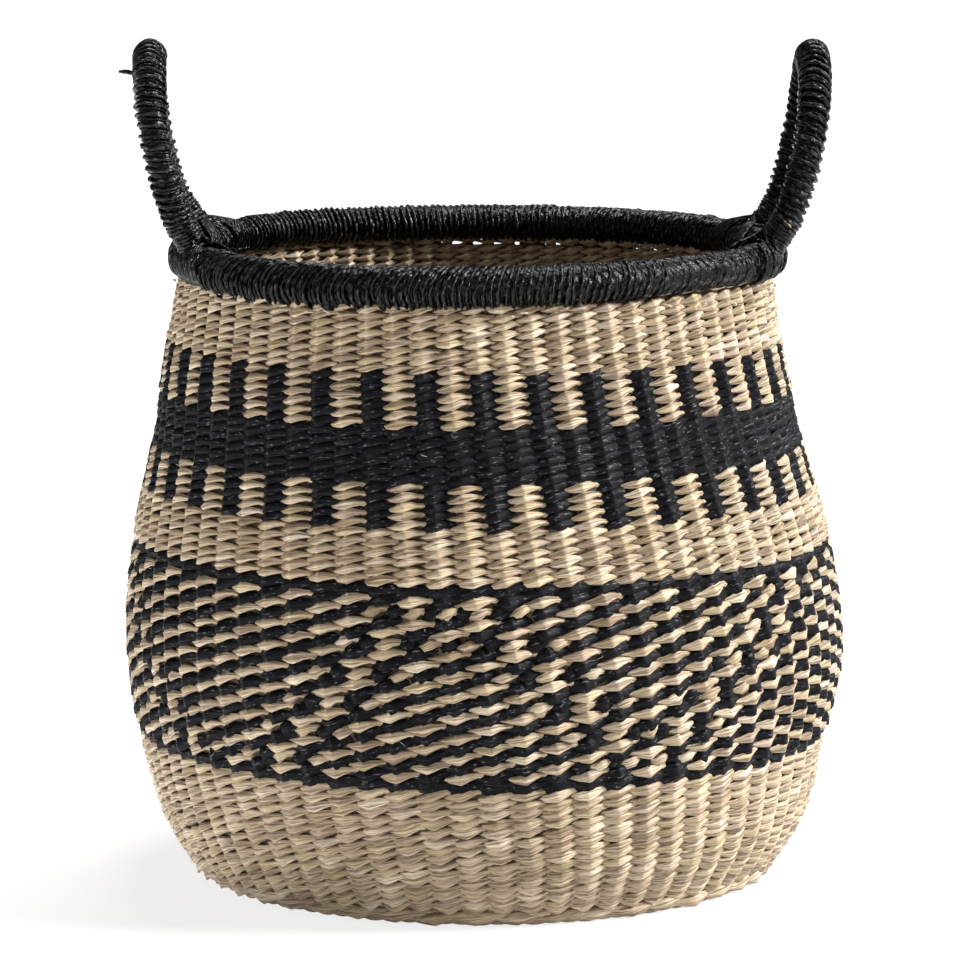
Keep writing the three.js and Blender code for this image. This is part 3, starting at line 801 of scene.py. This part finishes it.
def handle_line():
    """The middle of the right handle, from its front foot over the top to its back foot."""
    out = np.array([math.cos(foot_angle), math.sin(foot_angle), 0])
    up = np.array([0, 0, 1])
    tilted = math.sin(foot_tilt) * out + math.cos(foot_tilt) * up
    leg = [
        mouth_radius * out + rim_height * up + along * tilted
        for along in (foot_start, (foot_start + foot_end) / 2, foot_end)
    ]
    arch_top = handle_top - handle_radius
    arch_middle = rim_height + arch_shoulder
    arch = []
    for degrees in (0, 30, 60, 90):
        turn = math.radians(degrees)
        height = arch_middle + (arch_top - arch_middle) * math.sin(turn)
        share = (height - leg[-1][2]) / (arch_top - leg[-1][2])
        away = leg[-1][0] + handle_lean * (1 - (1 - share) ** 2)
        arch.append([away, arch_half_width * math.cos(turn), height])
    half = np.array([*leg, *arch])
    return spline(np.vstack([half[:-1] * (1, -1, 1), half[::-1]]), 16)


def wrap_handle(side, half_turn):
    """The cord round a handle. A half turn of -1 sets the handle on the left."""
    line = handle_line()
    twisted = np.clip((line[:, 2] - rim_height) / twist_height, 0, 1)
    bowed = (line[:, 2] - rim_height - bow_start) / (handle_top - rim_height - bow_margin)
    line[:, 0] += handle_twist[side] * twisted * line[:, 1] * half_turn / arch_half_width
    line[:, 0] += handle_bow[side] * np.sin(math.pi * np.clip(bowed, 0, 1))
    line[:, :2] *= half_turn
    ahead = unit(np.gradient(line, axis=0))
    out = square_to(ahead, np.array([[half_turn, 0, 0]]))
    across = np.cross(out, ahead)
    swell = np.sin(np.linspace(0, math.pi, len(line)))
    radius = leg_radius + (handle_radius - leg_radius) * swell + cords_proud
    slant = np.full(len(line), handle_slant)
    made = winding(
        line, out, across, radius, handle_turns, False, handle_cords, slant, handle_looseness, 0 * slant
    )
    padding_radius = radius - handle_padding
    padding = tube(line, out, padding_radius, padding_radius, padding_sides, False)
    made.append((padding, np.linspace(0, handle_length, len(line)), padding_tone, False))
    piece = skin("handle_cord_" + side, made)
    dress(piece, black_cord, "lashing_black", "handle_" + side, "handle_wrap_" + side)


wrap_handle("right", 1)
wrap_handle("left", -1)


# The bindings at the handles' feet: turns of the same cord round the rim, drawn tight over the
# foot of each leg. From the leg, cords fan out over the rim and a flat strap goes down inside it.

binding_turns = 7  # of two cords each
binding_radius = 0.0111
binding_cord = 0.0009
binding_arc = (-55, 232)  # degrees round the rim, up from its outermost point
binding_bow = 0.0024  # how far the turns bend along the rim
bow_beat, bow_beat_spread = 0.7, 0.3  # radians round the rim
binding_wander = 0.0004
binding_unevenness = 0.0003
cords_apart = 0.0012
second_depth = 0.0005  # the second cord of a turn lies deeper

# The fans of cords over a leg's flank, away from the other leg and towards it: which way, the first
# cord's place along the rim, the step to the next, and how many. A fan's cords run through points
# on the leg (along the rim, up the leg, across it) and then round the rim (further along it,
# degrees up from its outermost point, how proud of the binding).
fans = ((1, 0.0095, 0.0021, 7), (-1, 0.0085, 0.0016, 4))
fan_cord_radius = 0.0008
fan_height, fan_step = 0.0150, 0.0009  # the first cord's start on the leg, and how far each is lower
fan_wander = 0.0005
fan_on_leg = ((0.0020, 0, -0.0062), (0.0078, -0.003, -0.0010))
fan_on_rim = ((0, 58, 0), (0.0030, 18, 0.0002), (0.0038, -30, 0), (0.0036, -66, -0.0006))

# The straps' strands, one beside the other, with points of the same kinds. On the rim the second
# number is how many steps they stand apart there.
strap_numbers = range(-1, 5)
strap_step = 0.0017
strap_half = (0.0006, 0.0012)  # half of a strand's thickness and width
strap_on_leg = (0.0010, 0.0125, -0.0068)
strap_on_rim = (
    (0.0055, 1, 99, 0.0012), (0.0110, 1.3, 124, 0.0006), (0.0145, 1.6, 160, 0.0006), (0.0160, 1.7, 205, 0)
)
leg_out = np.array([math.sin(foot_tilt), math.cos(foot_tilt)])
leg_side = np.array([math.cos(foot_tilt), -math.sin(foot_tilt)])


def from_rim(foot, points):
    """Places near a foot, from how far along the rim, out of it and up from it they are."""
    along, out, up = np.array(points).T
    angle = foot + along / mouth_radius
    radius, height, _ = rim_place(angle)
    return round_axis(angle, radius + out, height + up), angle


def on_leg(way, along, up, across):
    return way * along, *(up * leg_out + across * leg_side)


def on_rim(way, along, degrees, proud):
    beat = math.radians(degrees)
    radius = binding_radius + proud
    return way * along, radius * math.cos(beat), radius * math.sin(beat)


def fan_cord(way, first, step, number):
    """A cord from the leg's inner side, over its flank and down over the outside of the rim."""
    spread = first + step * number + chance.normal(0, fan_wander)
    high = fan_height - fan_step * number
    points = [on_leg(way, along, high + up, across) for along, up, across in fan_on_leg]
    points += [on_rim(way, spread + along, degrees, proud) for along, degrees, proud in fan_on_rim]
    return spline(points, 6)


def strap(way, number):
    """A flat strand from the leg's inner side down over the inside of the rim."""
    shift = strap_step * number
    points = [on_leg(way, *strap_on_leg)]
    for along, steps, degrees, proud in strap_on_rim:
        points.append(on_rim(way, along + steps * shift, degrees, proud))
    return spline(points, 6)


def binding(name, foot, body, node):
    """The cords that tie one foot to the rim."""
    made = []

    def lay(points, depth, width, tone):
        path, angle = from_rim(foot, points)
        outwards = path - round_axis(angle, mouth_radius, rim_height)
        rings = tube(path, unit(outwards), depth, width, cord_sides, False)
        length = np.cumsum(np.linalg.norm(np.diff(path, axis=0, prepend=path[:1]), axis=1))
        made.append((rings, length + chance.uniform(0, 9), tone, False))

    beat = np.linspace(*np.radians(binding_arc), 30)
    for number in range(2 * binding_turns):
        pair, second = divmod(number, 2)
        place = ((pair + 0.5) / binding_turns - 0.5) * 2 * binding_half + (second - 0.5) * cords_apart
        drift = place + binding_bow * np.sin(beat - bow_beat + chance.normal(0, bow_beat_spread))
        drift = drift + chance.normal(0, binding_wander)
        uneven = np.interp(beat, np.linspace(-1, 4.1, 9), chance.normal(0, binding_unevenness, 9))
        rise = binding_radius - binding_cord - second_depth * second + uneven
        points = np.stack([drift, rise * np.cos(beat), rise * np.sin(beat)], axis=1)
        lay(points, binding_cord, binding_cord, chance.uniform(0.2, 0.7))
    away = 1 if math.sin(foot) * math.cos(foot) > 0 else -1
    for way, first, step, count in fans:
        for number in range(count):
            points = fan_cord(away * way, first, step, number)
            lay(points, fan_cord_radius, fan_cord_radius, chance.uniform(0.3, 0.9))
    for way in (1, -1):
        for number in strap_numbers:
            lay(strap(way, number), *strap_half, chance.uniform(0.3, 0.7))
    dress(skin(name, made), black_cord, "lashing_black", body, node)


for name, foot in (("right_front", -foot_angle), ("right_back", foot_angle),
                   ("left_front", math.pi + foot_angle), ("left_back", math.pi - foot_angle)):
    binding("binding_cord_" + name, foot, "handle_" + name.split("_")[0], "root_binding_" + name)


# Loose ends. Hand work leaves a few: cord ends and a knot on the handles, a scrap of bare grass
# under one foot, and fine fibres that stand off the weave and the cords.

# Each end's radius, a scrap's tone, and the points that it runs through.
left_routes = (
    (0.0013, (-0.169, -0.0215, 0.3995), (-0.1735, -0.0222, 0.401), (-0.1782, -0.0225, 0.4012)),
    (0.0005, (-0.159, -0.018, 0.405), (-0.156, -0.0185, 0.4078), (-0.1545, -0.0186, 0.4092)),
    (0.0005, (-0.1575, -0.032, 0.3845), (-0.1545, -0.033, 0.3852), (-0.1528, -0.0332, 0.3868)),
)
scrap_routes = (
    (0.0004, 0.7, (0.1462, -0.0482, 0.3316), (0.148, -0.049, 0.3304), (0.1496, -0.0488, 0.3288)),
    (0.0004, 0.4, (0.148, -0.0488, 0.3318), (0.1486, -0.0492, 0.3302), (0.15, -0.049, 0.3294)),
    (0.0005, 0.9, (0.149, -0.049, 0.329), (0.1504, -0.0492, 0.3282), (0.1512, -0.0486, 0.3268)),
)
knot_place = (0.1528, 0.0400, 0.3622)
knot_radius = 0.0013


def loose_end(points, radius, tone=0.5):
    """A short free strand through some points, thinner towards its ends."""
    path = spline(points, 5)
    ahead = unit(np.gradient(path, axis=0))
    normal = np.cross(ahead, (0.0, 0.31, 0.95))
    taper = radius * (0.35 + 0.65 * np.sin(np.linspace(0.25, math.pi - 0.25, len(path))))
    rings = tube(path, normal, taper, taper, 5, False)
    return rings, np.linspace(0, 0.02, len(path)) + chance.uniform(0, 9), tone, False


def knot(centre, size):
    """A few small loops of cord pulled together."""
    made = []
    for tilt in (0, 1.1, 2.2):
        around = np.linspace(0, 2 * math.pi, 9)[:-1] + tilt
        turned = np.sin(around)
        ring = np.stack([np.cos(around), turned * math.cos(tilt), turned * math.sin(tilt)], axis=1)
        made.append(loose_end(np.array(centre) + size * np.vstack([ring, ring[:1]]), size * 0.6))
    return made


left_ends = [loose_end(points, radius) for radius, *points in left_routes]
right_ends = knot(knot_place, knot_radius)
for side, ends in (("left", left_ends), ("right", right_ends)):
    dress(skin("cord_ends_" + side, ends), black_cord, "lashing_black", "handle_" + side)
scrap = [loose_end(points, radius, tone) for radius, tone, *points in scrap_routes]
dress(skin("grass_scrap", scrap), seagrass, "seagrass_natural", "handle_right")

# Fibres that stand off the weave. Where a value is a pair, it is the least and the most.
along = np.linspace(0, 1, 4)  # the points of each fibre, as shares of its length
fibre_count = 80
fibre_radius = 0.00011
fibre_heights = (0.02, 0.295)
fibre_lift = (0.0006, 0.0018)
fibre_root = 0.0006  # how deep its ends are in the weave
fibre_run, fibre_drop = 0.016, 0.0022  # round the basket, in radians, and down it
fibres = []
for number in range(fibre_count):
    distance = wall_line.distance(chance.uniform(*fibre_heights))
    radius, height, out_slope, up_slope = wall_line.place(distance)
    start, lift = chance.uniform(0, 2 * math.pi), chance.uniform(*fibre_lift)
    run, drop = chance.normal(0, fibre_run), chance.normal(0, fibre_drop)
    aside = np.interp(height, sway_heights, sway_aside) * math.cos(start)
    out = radius + lift * np.sin(along * math.pi) - fibre_root + aside
    points = round_axis(start + run * along, out, height + drop * along)
    fibres.append(loose_end(points, fibre_radius, 0.8))

# The tips of strands that show under the rim.
tip_count = 44
tip_radius = 0.0006
tip_ring, tip_bow = 0.1497, 0.0012
tip_heights = (0.2945, 0.2975)
tip_run = (0.012, 0.034)
tip_rise = (-0.0030, 0.0012)
for number in range(tip_count):
    start, height = chance.uniform(0, 2 * math.pi), chance.uniform(*tip_heights)
    run, rise = chance.uniform(*tip_run), chance.uniform(*tip_rise)
    out = tip_ring + tip_bow * np.sin(along * math.pi)
    points = round_axis(start + run * along, out, height + rise * along, sway_aside[-1])
    fibres.append(loose_end(points, tip_radius, chance.uniform(0.6, 1)))
dress(skin("grass_fibres", fibres), seagrass, "seagrass_natural", "basket")

# Hairs of the cord round the rim.
hair_count = 220
hair_radius = 0.00014
hair_beats = (-1.2, 2.4)  # radians round the rim, up from its outermost point
hair_lift = (0.0004, 0.0015)
hair_run, hair_turn = 0.02, 0.35  # along the rim and round it, in radians
hairs = []
for number in range(hair_count):
    start, beat = chance.uniform(0, 2 * math.pi), chance.uniform(*hair_beats)
    angle = start + chance.normal(0, hair_run) * along
    turned = beat + chance.normal(0, hair_turn) * along
    radius = rim_tube + chance.uniform(*hair_lift) * np.sin(along * math.pi)
    out, up = mouth_radius + radius * np.cos(turned), rim_height + radius * np.sin(turned)
    points = round_axis(angle, out, up)
    hairs.append(loose_end(points, hair_radius, 0.9))
dress(skin("rim_hairs", hairs), black_cord, "lashing_black", "basket")


# The floor, the light and the camera. The basket stands on a white floor under four soft lamps.
# The floor gives light from below too, most of it on the left, close to the basket.

def floor_finish():
    """White to the camera. To other rays it is a dim light, and a bright one left of the basket."""
    material, start, shader = new_finish("floor", 0.9, 0.0)
    seen = start.node("ShaderNodeLightPath", output=0)
    feed(shader, "Base Color", start.mix(seen, (0.6, 0.6, 0.6, 1), (0.20, 0.20, 0.20, 1)))
    place = start.node("ShaderNodeTexCoord", output=3)
    towards_left = start.node("ShaderNodeSeparateXYZ", None, {0: place}) * -1
    near_left = towards_left.between(0.08, 0.22) * (1 - towards_left.between(0.4, 0.7))
    card = start.mix(near_left, (0.26, 0.26, 0.26, 1), (2.1, 2.1, 2.1, 1))
    feed(shader, "Emission Color", start.mix(seen, card, (0.80, 0.80, 0.80, 1)))
    shader.inputs["Emission Strength"].default_value = 1
    return material


floor_radius = 14
floor_corners = 96
for item in bpy.context.selected_objects:
    item.select_set(False)
bpy.ops.mesh.primitive_circle_add(vertices=floor_corners, radius=floor_radius, fill_type="NGON")
floor = bpy.context.object
floor.name = "floor"
floor.data.materials.append(floor_finish())

world = bpy.data.worlds.new("studio")
bpy.context.scene.world = world
world.use_nodes = True
sky = Socket(world.node_tree)
ray = sky.node("ShaderNodeLightPath", output=0)
background = world.node_tree.nodes["Background"]
shade = sky.mix(ray, (0.14, 0.14, 0.14, 1), (1, 1, 1, 1))
world.node_tree.links.new(shade.out, background.inputs["Color"])


def sun(name, azimuth, elevation, strength, width):
    """A soft lamp far away, with its angles and width in degrees. Azimuth 0 is behind the camera
    and 90 on the right."""
    lamp = bpy.data.lights.new(name, "SUN")
    lamp.energy = strength
    lamp.angle = math.radians(width)
    item = bpy.data.objects.new(name, lamp)
    a, e = math.radians(azimuth), math.radians(elevation)
    towards = Vector((math.sin(a) * math.cos(e), -math.cos(a) * math.cos(e), math.sin(e)))
    item.rotation_euler = towards.to_track_quat("Z", "Y").to_euler()
    bpy.context.scene.collection.objects.link(item)


sun("key", 83, 33, math.pi * 2.25, 16)
sun("front", 12, 58, math.pi * 0.09, 8)
sun("fill", -62, 3, math.pi * 0.10, 40)
sun("top", 160, 66, math.pi * 1.0, 24)

camera_place = Vector((-0.0006, -2.5, 0.571))
camera_pitch = math.radians(8.557)
camera_lens = 188.9  # millimetres, as the sensor
camera_sensor = 36
camera_data = bpy.data.cameras.new("camera")
camera_data.lens = camera_lens
camera_data.sensor_width = camera_sensor
camera = bpy.data.objects.new("camera", camera_data)
camera.location = camera_place
camera.rotation_euler = (math.pi / 2 - camera_pitch, 0, 0)
bpy.context.scene.collection.objects.link(camera)
bpy.context.scene.camera = camera
bpy.context.scene.view_settings.view_transform = "Standard"
